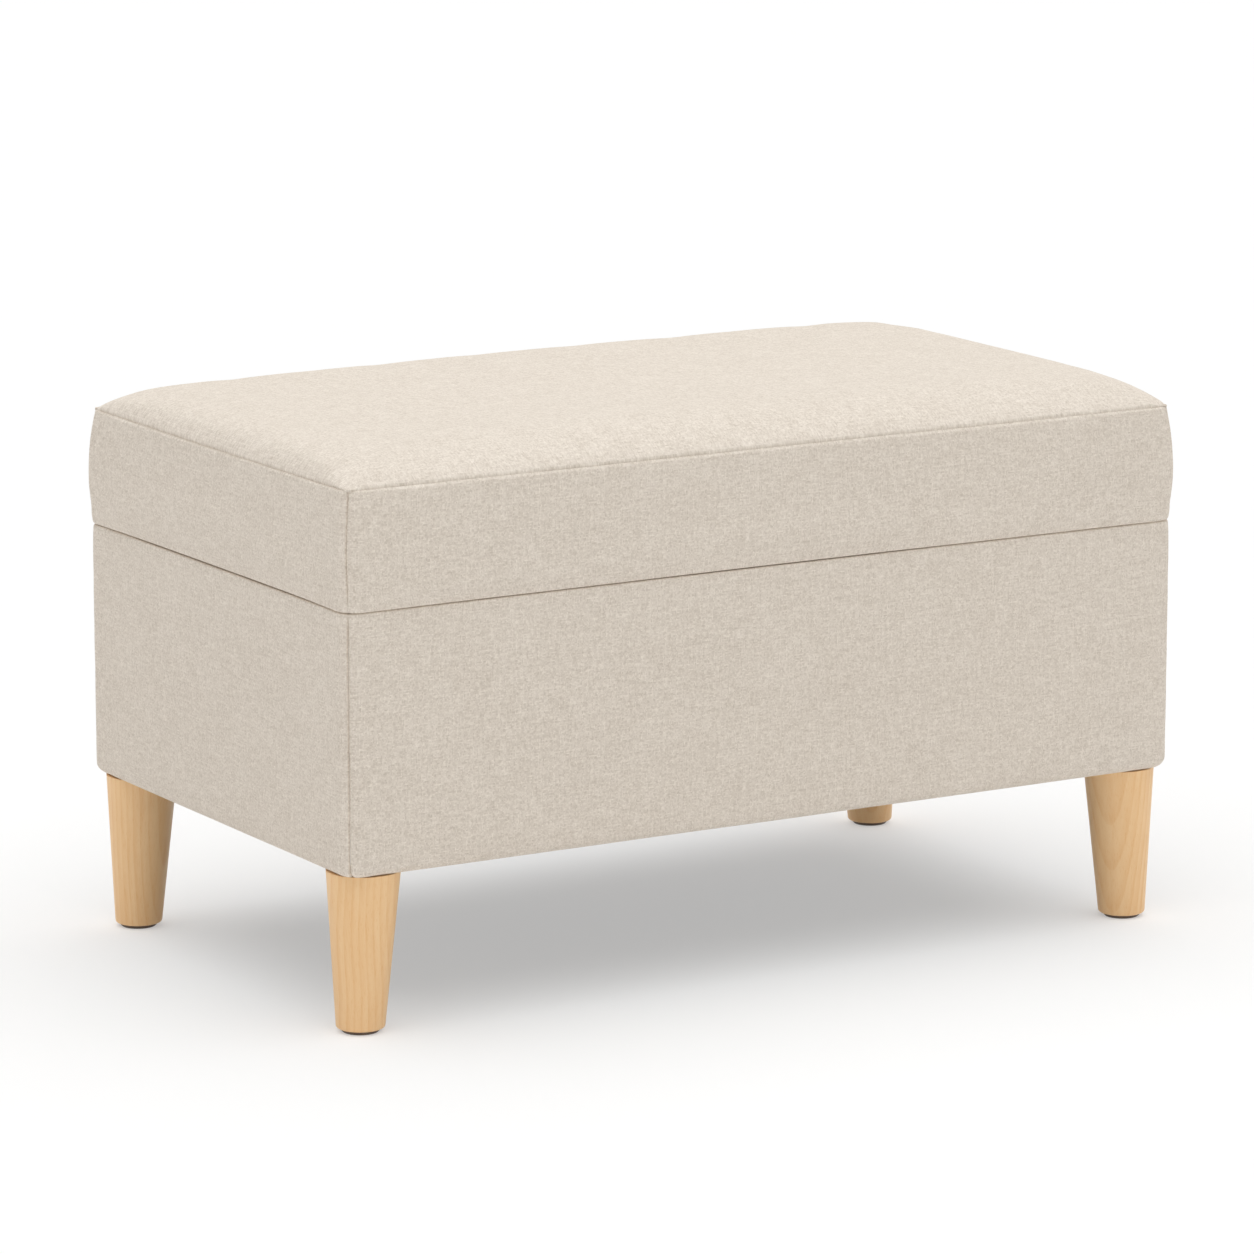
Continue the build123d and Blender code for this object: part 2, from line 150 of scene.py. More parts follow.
def wood_grain_group():
    """Growth rings round a pith line along Z, tone streaks and short dark flecks."""
    tree, given, out = node_group(
        "wood_grain",
        [("Vector", "Vector", (0, 0, 0)), ("Pale", "Color", (1, 1, 1, 1)), ("Dark", "Color", (0, 0, 0, 1)),
         ("Ring Width", "Float", 0.003), ("Ring Strength", "Float", 0.3), ("Fleck Strength", "Float", 0.4)],
        [("Color", "Color"), ("Height", "Float"), ("Roughness", "Float")],
    )
    rise_power, ring_end_power, streak_share = 2.5, 24.0, 0.45
    parts = wandered(tree, given["Vector"], 9.0, 8 * MM)
    squares = [calc(tree, "POWER", part, 2.0) for part in (parts[0], parts[1])]
    away = calc(tree, "SQRT", calc(tree, "ADD", *squares))
    turn = calc(tree, "FRACT", calc(tree, "DIVIDE", away, given["Ring Width"]))
    ring_end = calc(tree, "SUBTRACT", 1.0, calc(tree, "POWER", turn, ring_end_power))
    late_wood = calc(tree, "MULTIPLY", calc(tree, "POWER", turn, rise_power), ring_end)
    fleck = spread(tree, speckle(tree, stretched(tree, parts, 1500.0, 70.0), 1.0, 1.0).outputs[0], 0.56, 0.72)
    streak = spread(tree, speckle(tree, stretched(tree, parts, 230.0, 6.0), 1.0, 3.0).outputs[0], 0.25, 0.75)
    share = weighed(tree, late_wood, given["Ring Strength"], streak, streak_share)
    share = calc(tree, "ADD", share, calc(tree, "MULTIPLY", fleck, given["Fleck Strength"]), clamp=True)
    plug(tree, mixed(tree, share, given["Pale"], given["Dark"]), out["Color"])
    plug(tree, calc(tree, "SUBTRACT", 1.0, weighed(tree, fleck, 0.6, late_wood, 0.2)), out["Height"])
    plug(tree, raised(tree, 0.42, share, 0.16), out["Roughness"])
    return tree


wood_grain = wood_grain_group()


def wood_finish(name, pale, dark, ring_width, ring_strength, fleck, turn=(0, 0, 0), pith=(0, 0, 0)):
    """Bare or oiled wood; turn brings the grain along Z and pith sets the heart of the tree."""
    material, tree, shader = new_finish(name)
    place = add(tree, "ShaderNodeTexCoord").outputs["Object"]
    laid = add(tree, "ShaderNodeMapping", {"Vector": place, "Location": pith, "Rotation": turn}).outputs[0]
    grain = add(tree, "ShaderNodeGroup", {
        "Vector": laid, "Pale": (*pale, 1), "Dark": (*dark, 1), "Ring Width": ring_width,
        "Ring Strength": ring_strength, "Fleck Strength": fleck,
    }, node_tree=wood_grain).outputs
    surface(tree, shader, grain["Color"], grain["Roughness"], grain["Height"], 0.25, 0.2 * MM)
    return material, tree, shader, place, grain


BIRCH, BIRCH_DARK, PLY_GLUE = (0.66, 0.49, 0.31), (0.50, 0.34, 0.19), (0.33, 0.20, 0.10)
PLIES, BOARD = 9, 15 * MM
CROSS_PLY_SHADE, GLUE_LINE, GLUE_SHADE = 0.45, 0.04, 0.7


def plywood_finish(name, thick_axis, example, turn):
    """Birch in plies that cross by turns through the board's thickness, with dark glue between them."""
    material, tree, shader, place, grain = wood_finish(
        name, BIRCH, BIRCH_DARK, 14 * MM, 0.5, 0.25, turn, pith=(0.0, 0.4, 0.2))
    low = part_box(example)[0][thick_axis]
    through = add(tree, "ShaderNodeSeparateXYZ", {0: place}).outputs[thick_axis]
    ply = calc(tree, "MULTIPLY", calc(tree, "SUBTRACT", through, low), PLIES / BOARD)
    crossed = calc(tree, "MULTIPLY", calc(tree, "MODULO", calc(tree, "FLOOR", ply), 2.0), CROSS_PLY_SHADE)
    from_middle = calc(tree, "ABSOLUTE", calc(tree, "SUBTRACT", calc(tree, "FRACT", ply), 0.5))
    glue = calc(tree, "MULTIPLY", calc(tree, "GREATER_THAN", from_middle, 0.5 - GLUE_LINE), GLUE_SHADE)
    layered = mixed(tree, crossed, grain["Color"], (*BIRCH_DARK, 1))
    plug(tree, mixed(tree, glue, layered, (*PLY_GLUE, 1)), shader.inputs["Base Color"])
    return material


QUARTER = math.pi / 2
dress(["bottom_panel"], plywood_finish("birch_ply_bottom", 2, "bottom_panel", (0, QUARTER, 0)))
dress(["lid_board"], plywood_finish("birch_ply_lid", 2, "lid_board", (0, QUARTER, 0)))
for wall in ("front", "back"):
    dress([f"{wall}_panel"], plywood_finish(f"birch_ply_{wall}", 1, f"{wall}_panel", (0, QUARTER, 0)))
for wall in ("left", "right"):
    dress([f"{wall}_panel"], plywood_finish(f"birch_ply_{wall}", 0, f"{wall}_panel", (QUARTER, 0, 0)))

# Corner battens: square strips of planed pine, glued upright into the carcass corners, with the
# edge that faces the storage space chamfered so that it does not wear through the lining.
CORNERS = [(end, side) for end in ("front", "back") for side in ("left", "right")]
PINE, PINE_DARK = (0.72, 0.53, 0.32), (0.52, 0.31, 0.14)
pine = wood_finish("planed_pine", PINE, PINE_DARK, 5 * MM, 0.75, 0.1, pith=(0.02, -0.05, 0))[0]
dress([f"{end}_{side}_batten" for end, side in CORNERS], pine)


# Steel fittings: bright zinc-plated screws, hanger bolts, threaded inserts, hinges and stays. The
# plating is slightly cloudy, and pressed edges are eased.
ZINC_DULL, ZINC_BRIGHT = (0.60, 0.60, 0.58, 1), (0.72, 0.71, 0.67, 1)


def zinc_finish():
    material, tree, shader = new_finish("zinc_plate")
    place = add(tree, "ShaderNodeTexCoord").outputs["Object"]
    cloud = spread(tree, speckle(tree, place, 90.0, 4.0).outputs[0], 0.3, 0.7)
    parts = add(tree, "ShaderNodeSeparateXYZ", {0: place}).outputs
    rolled = speckle(tree, stretched(tree, (parts[0], parts[2], parts[1]), 2400.0, 60.0), 1.0, 2.0).outputs[0]
    colour = mixed(tree, cloud, ZINC_DULL, ZINC_BRIGHT)
    surface(tree, shader, colour, raised(tree, 0.24, cloud, 0.16), rolled, 0.08, 0.1 * MM)
    shader.inputs["Metallic"].default_value = 1.0
    return material


zinc = zinc_finish()
PLATED = ["stay_box_bracket", "stay_lower_arm", "stay_elbow_rivet", "stay_upper_arm", "stay_lid_bracket",
          "hinge_base_leaf", "hinge_lid_leaf", "hinge_pin"]
fittings = [f"{side}_{piece}" for side in ("left", "right") for piece in PLATED]
fittings += ["carcass_screws", "leg_bolts", "insert_nuts", "base_hinge_screws", "lid_hinge_screws",
             "stay_box_screws", "stay_lid_screws", "stay_box_rivets", "stay_lid_rivets"]
dress(fittings, zinc)
for name in fittings:
    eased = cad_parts[name].modifiers.new("eased_edges", "BEVEL")
    eased.width = (0.45 if "rivet" in name else 0.25) * MM
    eased.segments = 2
    eased.limit_method = "ANGLE"
    eased.angle_limit = math.radians(40)


# Box cover: four panels of linen-look upholstery cloth sewn at the corners into a sleeve, pulled over
# the wadding, turned under the bottom board and over the rim, and stapled to the boards.
HALF_LENGTH, HALF_DEPTH, CORNER, PULLED_ROUND = 388 * MM, 225 * MM, 14 * MM, 2 * MM
HINGE_Y, HINGE_Z, LEAF_EDGE = 224.5 * MM, 339 * MM, 202 * MM
HINGE_X, HINGE_HALF, KNUCKLE_ROOM = 235 * MM, 34.6 * MM, 3.3 * MM
HALF_GAP, LEAF_BED = 0.6 * MM, 1.1 * MM
BOX_LOW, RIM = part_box("base_cover_front")[0].z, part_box("base_cover_front")[1].z + 0.33 * MM
FABRIC = 1.25 * MM
TURNED_UNDER, TURNED_IN, TURNED_DOWN = 20 * MM, 24.25 * MM, 26 * MM
SIDES = ("front", "right", "back", "left")
SEAM_STEPS = [0, 0.6, 1.3, 2.6, 5.0, 8.0]      # mm from a corner seam, inside the rounding
STRAIGHT_STEP = 8 * MM
GAP_REACH, SHARPEST = 10 * MM, 0.6 * MM
HINGE_MARKS = [199.5, 201.0, 269.0, 270.5]     # mm, columns beside the hinge leaves


def panel_columns(half, marks=()):
    """Stations of one panel from seam to seam: place on the straight run, angle round the corner."""
    flat = half - CORNER
    bends = [math.pi / 4 * (1 - s * MM / (CORNER * math.pi / 4)) for s in SEAM_STEPS] + [0.0]
    count = round(2 * flat / STRAIGHT_STEP)
    runs = [flat * (2 * i / count - 1) for i in range(1, count)] + [-flat + 3 * MM, flat - 3 * MM]
    runs = [x for x in runs if all(abs(abs(x) - m * MM) > 3 * MM for m in marks)]
    runs = sorted(runs + [s * m * MM for m in marks for s in (-1, 1)])
    return [(-flat, -b) for b in bends] + [(x, 0.0) for x in runs] + [(flat, b) for b in bends[::-1]]


long_columns = panel_columns(HALF_LENGTH, HINGE_MARKS)
short_columns = panel_columns(HALF_DEPTH)
COLUMNS = {side: long_columns if side in ("front", "back") else short_columns for side in SIDES}


def plan_place(side, column, inset, z):
    """A station's place in plan at height z on the outline drawn in by inset. Corners are roundest
    at the gap, where the cloth is pulled over an edge, and sharp deep inside."""
    run, bend = column
    along, out = (HALF_LENGTH, HALF_DEPTH) if side in ("front", "back") else (HALF_DEPTH, HALF_LENGTH)
    drawn_in = max(inset, 0.0) / TURNED_IN
    at_gap = math.exp(-((z - HINGE_Z) / GAP_REACH) ** 2)
    radius = max((CORNER + PULLED_ROUND * at_gap) * (1 - drawn_in ** 2), SHARPEST)
    x = run / (along - CORNER) * (along - inset - radius) + radius * math.sin(bend)
    y = out - inset - radius + radius * math.cos(bend)
    return {"front": (x, -y), "right": (y, x), "back": (-x, y), "left": (-y, -x)}[side]


def cloth_width(columns):
    """Distance along the cloth of each station, and of each from its nearer corner seam."""
    at = np.array([run + CORNER * bend for run, bend in columns])
    at = at - at[0]
    return at, np.minimum(at, at[-1] - at)


cloth_widths = {side: cloth_width(COLUMNS[side])[0] for side in SIDES}


def wrap_sides(profile):
    """A sleeve round the ottoman from profile rows (inset, height): points, quads with their panel and
    cloth places, each point's distance from the corner seams and each row's along the cloth."""
    rows = np.array(profile)
    steps = np.hypot(*np.diff(rows, axis=0).T)
    down = np.concatenate([[0], np.cumsum(steps)])
    ring = [(side, i) for side in SIDES for i in range(len(COLUMNS[side]) - 1)]
    points = [(*plan_place(side, COLUMNS[side][i], inset, z), z) for inset, z in profile for side, i in ring]
    seam = np.tile([cloth_width(COLUMNS[side])[1][i] for side, i in ring], len(rows))
    quads, panels, lays = [], [], []
    for j in range(len(rows) - 1):
        this_row, next_row = j * len(ring), (j + 1) * len(ring)
        for k, (side, i) in enumerate(ring):
            k2 = (k + 1) % len(ring)
            left, right = cloth_widths[side][i], cloth_widths[side][i + 1]
            quads.append((this_row + k, this_row + k2, next_row + k2, next_row + k))
            panels.append(side)
            lays.append([(left, down[j]), (right, down[j]), (right, down[j + 1]), (left, down[j + 1])])
    return np.array(points), quads, panels, lays, seam, down


def arc_rows(inset, z, radius, start, stop, count):
    """Profile rows round an edge; angles in degrees from pointing outwards, counted upwards."""
    turns = [math.radians(start + (stop - start) * i / count) for i in range(count + 1)]
    return [(inset - radius * math.cos(a), z + radius * math.sin(a)) for a in turns]


def even_rows(first, last, step):
    count = max(1, round(math.dist(first, last) / step))
    return [tuple(a + (b - a) * i / count for a, b in zip(first, last)) for i in range(1, count)]


def lay_mesh(name, points, quads, lays):
    """A smooth mesh whose UV map holds the cloth's own flat places, in metres."""
    mesh = bpy.data.meshes.new(name)
    mesh.from_pydata([tuple(p) for p in points], [], quads)
    if lays:
        layer = mesh.uv_layers.new(name="cloth_lay")
        layer.uv.foreach_set("vector", np.array(lays, np.float32).ravel())
    mesh.polygons.foreach_set("use_smooth", [True] * len(mesh.polygons))
    mesh.update()
    return mesh


def place_mesh(name, mesh):
    piece = bpy.data.objects.new(name, mesh)
    bpy.context.scene.collection.objects.link(piece)
    return piece


def point_normals(points, quads):
    mesh = bpy.data.meshes.new("cover_pattern")
    mesh.from_pydata([tuple(p) for p in points], [], quads)
    normals = np.array([v.normal for v in mesh.vertices])
    bpy.data.meshes.remove(mesh)
    return normals


def fade(distance, reach):
    """1 at a place and 0 well beyond reach."""
    return np.exp(-(distance / reach) ** 2)


SEWN_REACH, SETTLE_FRAMES, EVEN_ROUNDS = 5 * MM, 20, 40


def pull_tight(points, quads, held, seam, give):
    """Sewn cloth under the push of its padding: it starts give smaller and swells by as much, its seams
    draw up a little and held points stay on their staples. The padding keeps the broad shape."""
    normals = point_normals(points, quads)
    start = points - normals * give * (1 - held)[:, None]
    mesh = bpy.data.meshes.new("cover_pattern")
    mesh.from_pydata([tuple(p) for p in start], [], quads)
    pattern = place_mesh("cover_pattern", mesh)
    for label, weights in (("stapled", held), ("sewn", fade(seam, SEWN_REACH))):
        group = pattern.vertex_groups.new(name=label)
        for i in np.nonzero(weights > 0.01)[0]:
            group.add([int(i)], float(weights[i]), "REPLACE")
    cloth = pattern.modifiers.new("cover", "CLOTH").settings
    cloth.quality = 6
    cloth.mass = 0.3
    cloth.tension_stiffness = cloth.compression_stiffness = 20
    cloth.shear_stiffness = 8
    cloth.bending_stiffness = 1.5
    cloth.vertex_group_mass = "stapled"
    cloth.vertex_group_shrink = "sewn"
    cloth.shrink_max = 0.02
    cloth.use_pressure = True
    cloth.uniform_pressure_force = 4
    cloth.effector_weights.gravity = 0
    scene = bpy.context.scene
    for step in range(1, SETTLE_FRAMES + 1):
        scene.frame_set(step)
    settled = pattern.evaluated_get(bpy.context.evaluated_depsgraph_get()).data
    moved = np.array([v.co for v in settled.vertices]) - start
    bpy.data.objects.remove(pattern)
    bpy.data.meshes.remove(mesh)
    scene.frame_set(1)
    reach = np.linalg.norm(moved, axis=1)
    swollen = start + moved * np.minimum(1, give / np.maximum(reach, 1e-9))[:, None]
    short = ((points - swollen) * normals).sum(1)
    return swollen + normals * even_out(short, quads, EVEN_ROUNDS)[:, None]


def even_out(values, quads, rounds):
    """Average each point's value with its neighbours'."""
    corners = np.array(quads)
    ends = np.vstack([corners[:, [i, (i + 1) % 4]] for i in range(4)])
    count = np.bincount(ends.ravel(), minlength=len(values))
    for _ in range(rounds):
        total = np.bincount(ends[:, 0], values[ends[:, 1]], len(values))
        total += np.bincount(ends[:, 1], values[ends[:, 0]], len(values))
        values = 0.5 * values + 0.5 * total / np.maximum(count, 1)
    return values


def lumps(points, per_metre):
    """Smooth unevenness at each point, from -1 to 1."""
    return np.array([noise.noise(Vector(p) * per_metre) for p in points])


STITCH, PUCKER_IN, PUCKER_OUT, PUCKER = 0.9 * MM, 2 * MM, 10 * MM, 0.35 * MM
PUCKERS_PER_METRE, LUMPS_PER_METRE = 95, 11


def sew_seams(points, quads, seam, depth, soft):
    """Sink the stitched seams, pucker the cloth beside them and leave the padding faintly uneven."""
    normals = point_normals(points, quads)
    from_gap = np.clip(np.abs(points[:, 2] - HINGE_Z) / (9 * MM), 0.25, 1)
    sink = -depth * from_gap * fade(seam, STITCH)
    near = fade(seam, PUCKER_OUT) * (1 - fade(seam, PUCKER_IN))
    pucker = lumps(points, PUCKERS_PER_METRE) * near * from_gap * PUCKER
    uneven = lumps(points, LUMPS_PER_METRE) * (1 - near) * from_gap * soft
    return points + normals * (sink + pucker + uneven)[:, None]


def press_under_hinges(points, top):
    """Press the cloth flat under the hinge leaves and round their knuckles; top is 1 for the box's rim
    and -1 for the lid's underside."""
    shaped = points.copy()
    across = np.abs(np.abs(points[:, 0]) - HINGE_X) < HINGE_HALF
    face = HINGE_Z - top * HALF_GAP
    under = across & (points[:, 1] > LEAF_EDGE) & ((points[:, 2] - face) * top > -2 * MM)
    flatter = np.minimum if top > 0 else np.maximum
    shaped[under, 2] = flatter(shaped[under, 2], face - top * LEAF_BED)
    pin = np.array([HINGE_Y, HINGE_Z])
    out = shaped[:, 1:] - pin
    away = np.linalg.norm(out, axis=1)
    close = across & (away < KNUCKLE_ROOM)
    shaped[close, 1:] = pin + out[close] / np.maximum(away[close], 1e-6)[:, None] * KNUCKLE_ROOM
    return shaped


def cut_panel(name, points, quads, lays, wanted, thickness=FABRIC):
    """One panel of a sewn cover as a piece of its own, with the cloth's thickness behind its face."""
    faces = [quads[i] for i in wanted]
    used = sorted({v for face in faces for v in face})
    place = {v: i for i, v in enumerate(used)}
    cut = [tuple(place[v] for v in face) for face in faces]
    mesh = lay_mesh(name, points[used], cut, [lays[i] for i in wanted])
    piece = place_mesh(name, mesh)
    fine = piece.modifiers.new("rounded", "SUBSURF")
    fine.levels = fine.render_levels = 1
    fine.boundary_smooth = "PRESERVE_CORNERS"
    thick = piece.modifiers.new("cloth", "SOLIDIFY")
    thick.thickness = thickness
    thick.offset = -1
    return piece


def linen_weave_group():
    """Plain weave from flat cloth places in metres: yarns over and under, slubs and cloudy dyeing, with
    painted highlight on each yarn's crown and painted shade in the hollows between yarns.
    """
    tree, given, out = node_group(
        "linen_weave",
        [("Vector", "Vector", (0, 0, 0)), ("Pale", "Color", (1, 1, 1, 1)), ("Dark", "Color", (0, 0, 0, 1)),
         ("Yarn", "Float", 0.001), ("Slub", "Float", 0.6)],
        [("Color", "Color"), ("Height", "Float"), ("Roughness", "Float")],
    )
    parts = wandered(tree, given["Vector"], 55.0, 1.4 * MM)
    count = [calc(tree, "DIVIDE", parts[i], given["Yarn"]) for i in (0, 1)]
    crown = [calc(tree, "SINE", calc(tree, "MULTIPLY", calc(tree, "FRACT", c), math.pi)) for c in count]
    cells = calc(tree, "ADD", calc(tree, "FLOOR", count[0]), calc(tree, "FLOOR", count[1]))
    warp_up = calc(tree, "MULTIPLY", calc(tree, "FRACT", calc(tree, "MULTIPLY", cells, 0.5)), 2.0)
    round_yarn = [calc(tree, "MULTIPLY", crown[i], raised(tree, 0.55, crown[1 - i], 0.45)) for i in (0, 1)]
    tones = []
    for i in (0, 1):
        yarn, along = calc(tree, "FLOOR", count[i]), parts[1 - i]
        slubs = []
        short_slubs, long_slubs = (7.31, 420.0, 7.3 * i, 0.28, 0.72), (3.77, 70.0, 3.1 + 5.7 * i, 0.3, 0.7)
        for apart, per_metre, layer, low, high in (short_slubs, long_slubs):
            place = add(tree, "ShaderNodeCombineXYZ", {
                "X": calc(tree, "MULTIPLY", yarn, apart), "Y": calc(tree, "MULTIPLY", along, per_metre),
                "Z": layer,
            }).outputs[0]
            slubs.append(spread(tree, speckle(tree, place, 1.0, 1.0).outputs[0], low, high))
        tones.append(weighed(tree, slubs[0], 0.64, slubs[1], 0.36))
    on_top = raised(tree, 0.28, warp_up, 0.44)
    weave = add(tree, "ShaderNodeMix", {0: on_top, 2: tones[1], 3: tones[0]}).outputs[0]
    weave = spread(tree, weave, 0.18, 0.82)
    height = add(tree, "ShaderNodeMix", {0: warp_up, 2: round_yarn[1], 3: round_yarn[0]}).outputs[0]
    cloud = spread(tree, speckle(tree, given["Vector"], 22.0, 3.0).outputs[0], 0.3, 0.7)
    slub = calc(tree, "MULTIPLY", calc(tree, "SUBTRACT", weave, 0.5), given["Slub"])
    tone = raised(tree, calc(tree, "ADD", slub, 0.45), cloud, 0.04)
    # Painted highlight and painted shade: the yarn relief is added to the tone, so each yarn's crown is
    # painted paler and the hollows between yarns darker.
    tone = calc(tree, "ADD", tone, calc(tree, "MULTIPLY", height, 0.22), clamp=True)
    plug(tree, mixed(tree, tone, given["Dark"], given["Pale"]), out["Color"])
    plug(tree, weighed(tree, height, 0.8, weave, 0.35), out["Height"])
    plug(tree, calc(tree, "SUBTRACT", 0.95, calc(tree, "MULTIPLY", tone, 0.15)), out["Roughness"])
    return tree


linen_weave = linen_weave_group()


def woven_finish(name, pale, dark, yarn, slub, relief, sheen):
    """Woven cloth, laid by the flat places in its UV map."""
    material, tree, shader = new_finish(name)
    lay = add(tree, "ShaderNodeUVMap", uv_map="cloth_lay").outputs[0]
    weave = add(tree, "ShaderNodeGroup", {
        "Vector": lay, "Pale": (*pale, 1), "Dark": (*dark, 1), "Yarn": yarn, "Slub": slub,
    }, node_tree=linen_weave).outputs
    surface(tree, shader, weave["Color"], weave["Roughness"], weave["Height"], 0.5, relief)
    for label, value in (("Sheen Weight", sheen), ("Sheen Roughness", 0.6), ("Specular IOR Level", 0.2)):
        shader.inputs[label].default_value = value
    return material


LINEN_PALE, LINEN_DARK = (0.96, 0.882, 0.79), (0.598, 0.5145, 0.4275)
linen = woven_finish("linen_cloth", LINEN_PALE, LINEN_DARK, 1.1 * MM, 0.72, 0.3 * MM, 0.08)

BOTTOM_ROUND, RIM_ROUND = 8 * MM, 2.6 * MM
face_low, face_high = (0.0, BOX_LOW + BOTTOM_ROUND), (0.0, RIM - RIM_ROUND)
box_profile = [(TURNED_UNDER, BOX_LOW), (TURNED_UNDER - 1 * MM, BOX_LOW), (14 * MM, BOX_LOW)]
box_profile += arc_rows(BOTTOM_ROUND, BOX_LOW + BOTTOM_ROUND, BOTTOM_ROUND, -90, 0, 5)
box_profile += even_rows(face_low, face_high, 8 * MM)
box_profile += arc_rows(RIM_ROUND, RIM - RIM_ROUND, RIM_ROUND, 0, 90, 4)
box_profile += [(inset * MM, RIM) for inset in (6, 10, 14, 18, 21.5, 22.5)]
box_profile += [(TURNED_IN - 0.5 * MM, RIM), (TURNED_IN, RIM - 0.5 * MM), (TURNED_IN, RIM - 2 * MM)]
box_profile += even_rows((TURNED_IN, RIM - 2 * MM), (TURNED_IN, RIM - TURNED_DOWN), 6 * MM)
box_profile += [(TURNED_IN, RIM - TURNED_DOWN + 1 * MM), (TURNED_IN, RIM - TURNED_DOWN)]

sleeve, box_quads, box_panels, box_lays, box_seam, box_down = wrap_sides(box_profile)
sleeve = sew_seams(sleeve, box_quads, box_seam, 2.3 * MM, 0.25 * MM)
sleeve = press_under_hinges(sleeve, 1)
for side in SIDES:
    wanted = [i for i, panel in enumerate(box_panels) if panel == side]
    panel = cut_panel(f"box_{side}_fabric", sleeve, box_quads, box_lays, wanted)
    panel.data.materials.append(linen)
    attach(panel, "base")
    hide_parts(f"base_cover_{side}")


# Box wadding: a blanket of white polyester fibre glued round the carcass under the cloth, which
# softens the boards' edges.
def fibre_finish(name, pale, dark, scale, relief):
    """Matted fibre or foam cells, from the place in the piece."""
    material, tree, shader = new_finish(name)
    place = add(tree, "ShaderNodeTexCoord").outputs["Object"]
    tuft = speckle(tree, place, scale, 5.0, Distortion=1.5).outputs[0]
    colour = mixed(tree, spread(tree, tuft, 0.3, 0.7), (*dark, 1), (*pale, 1))
    surface(tree, shader, colour, raised(tree, 0.85, tuft, 0.12), tuft, 0.6, relief)
    return material


wadding_white = fibre_finish("wadding_fibre", (0.88, 0.88, 0.86), (0.72, 0.72, 0.70), 260.0, 0.8 * MM)
WADDING_IN, WADDING_OUT = 8 * MM, 1.5 * MM
wad_low, wad_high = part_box("base_wadding")[0].z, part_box("base_wadding")[1].z
soft_edge = [(WADDING_IN, 0.0), (5 * MM, 0.0), (3 * MM, 1 * MM), (WADDING_OUT, 4 * MM)]
wrap_profile = [(inset, wad_low + z) for inset, z in soft_edge]
wrap_profile += even_rows((WADDING_OUT, wad_low), (WADDING_OUT, wad_high), 24 * MM)
wrap_profile += [(inset, wad_high - z) for inset, z in soft_edge[::-1]]
wrap_profile += even_rows((WADDING_IN, wad_high), (WADDING_IN, wad_low), 40 * MM) + [(WADDING_IN, wad_low)]
wrap, wrap_quads, _, _, _, _ = wrap_sides(wrap_profile)
box_wadding = place_mesh("box_wadding_wrap", lay_mesh("box_wadding_wrap", wrap, wrap_quads, None))
welded = bmesh.new()
welded.from_mesh(box_wadding.data)
bmesh.ops.remove_doubles(welded, verts=welded.verts, dist=0.01 * MM)
welded.to_mesh(box_wadding.data)
welded.free()
box_wadding.data.materials.append(wadding_white)
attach(box_wadding, "base")
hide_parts("base_wadding")

# Legs: four tapered cones turned from steamed beech, clear-lacquered, each screwed by its hanger bolt
# into a threaded insert in the bottom board. A nail-on plastic glide sits under each foot.
BEECH, BEECH_DARK = (1.0, 0.685, 0.375), (0.90, 0.53, 0.235)
beech, _, beech_shader, _, _ = wood_finish(
    "turned_beech", BEECH, BEECH_DARK, 5.5 * MM, 0.5, 0.35,
    turn=(math.radians(1.5), math.radians(-2), 0), pith=(-0.03, 0.42, 0))
beech_shader.inputs["Coat Weight"].default_value = 0.12
beech_shader.inputs["Coat Roughness"].default_value = 0.35
dress([f"{end}_{side}_leg" for end, side in CORNERS], beech)
GLIDE_DARK, GLIDE_SCUFFED = (0.15, 0.11, 0.08, 1), (0.24, 0.19, 0.15, 1)


def glide_finish():
    material, tree, shader = new_finish("moulded_glide")
    place = add(tree, "ShaderNodeTexCoord").outputs["Object"]
    grain = speckle(tree, place, 900.0, 2.0).outputs[0]
    scuff = spread(tree, speckle(tree, place, 140.0, 3.0).outputs[0], 0.5, 0.75)
    colour = mixed(tree, scuff, GLIDE_DARK, GLIDE_SCUFFED)
    surface(tree, shader, colour, raised(tree, 0.45, scuff, 0.25), grain, 0.2, 0.1 * MM)
    return material


dress([f"{end}_{side}_glide" for end, side in CORNERS], glide_finish())

# Dust cover: a sheet of thin dark non-woven cloth that closes the box from below, cut round the legs
# and stapled to the bottom board just inside the turned-under cover.
DUST_PALE, DUST_DARK = (0.13, 0.12, 0.11), (0.06, 0.055, 0.05)
dust_cloth = woven_finish("dust_cover_nonwoven", DUST_PALE, DUST_DARK, 1.6 * MM, 0.7, 0.2 * MM, 0.05)
dust_low, dust_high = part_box("dust_cover")
LEG_AT, LEG_HOLE = (357 * MM, 193 * MM), 30.8 * MM
HOLE_STEPS = (0.004, 0.02, 0.05, 0.1, 0.18, 0.28, 0.4, 0.55, 0.7, 0.85, 1)
DUST_SAG, DUST_RIPPLE, RIPPLES_PER_METRE = 0.6 * MM, 0.35 * MM, 16
hole_start = LEG_AT[0] - LEG_HOLE
dust_x = [hole_start * (i / 30) for i in range(31)]
dust_x += [hole_start + (dust_high.x - hole_start) * t for t in HOLE_STEPS]
dust_x = [-x for x in dust_x[:0:-1]] + dust_x


def dust_reach(x):
    """Half the sheet's depth at x, up to its edge or the round cut-out at a leg."""
    from_leg = abs(x) - LEG_AT[0]
    if abs(x) <= hole_start:
        return dust_high.y
    return LEG_AT[1] - math.sqrt(max(LEG_HOLE ** 2 - from_leg ** 2, 0.0))


def flat_sheet(name, points, deep, thickness):
    """A sheet stapled flat, from rows of deep points each."""
    quads = [(i + j, i + j + 1, i + deep + j + 1, i + deep + j)
             for i in range(0, len(points) - deep, deep) for j in range(deep - 1)]
    lays = [[tuple(points[v][:2]) for v in quad] for quad in quads]
    return cut_panel(name, points, quads, lays, range(len(quads)), thickness)


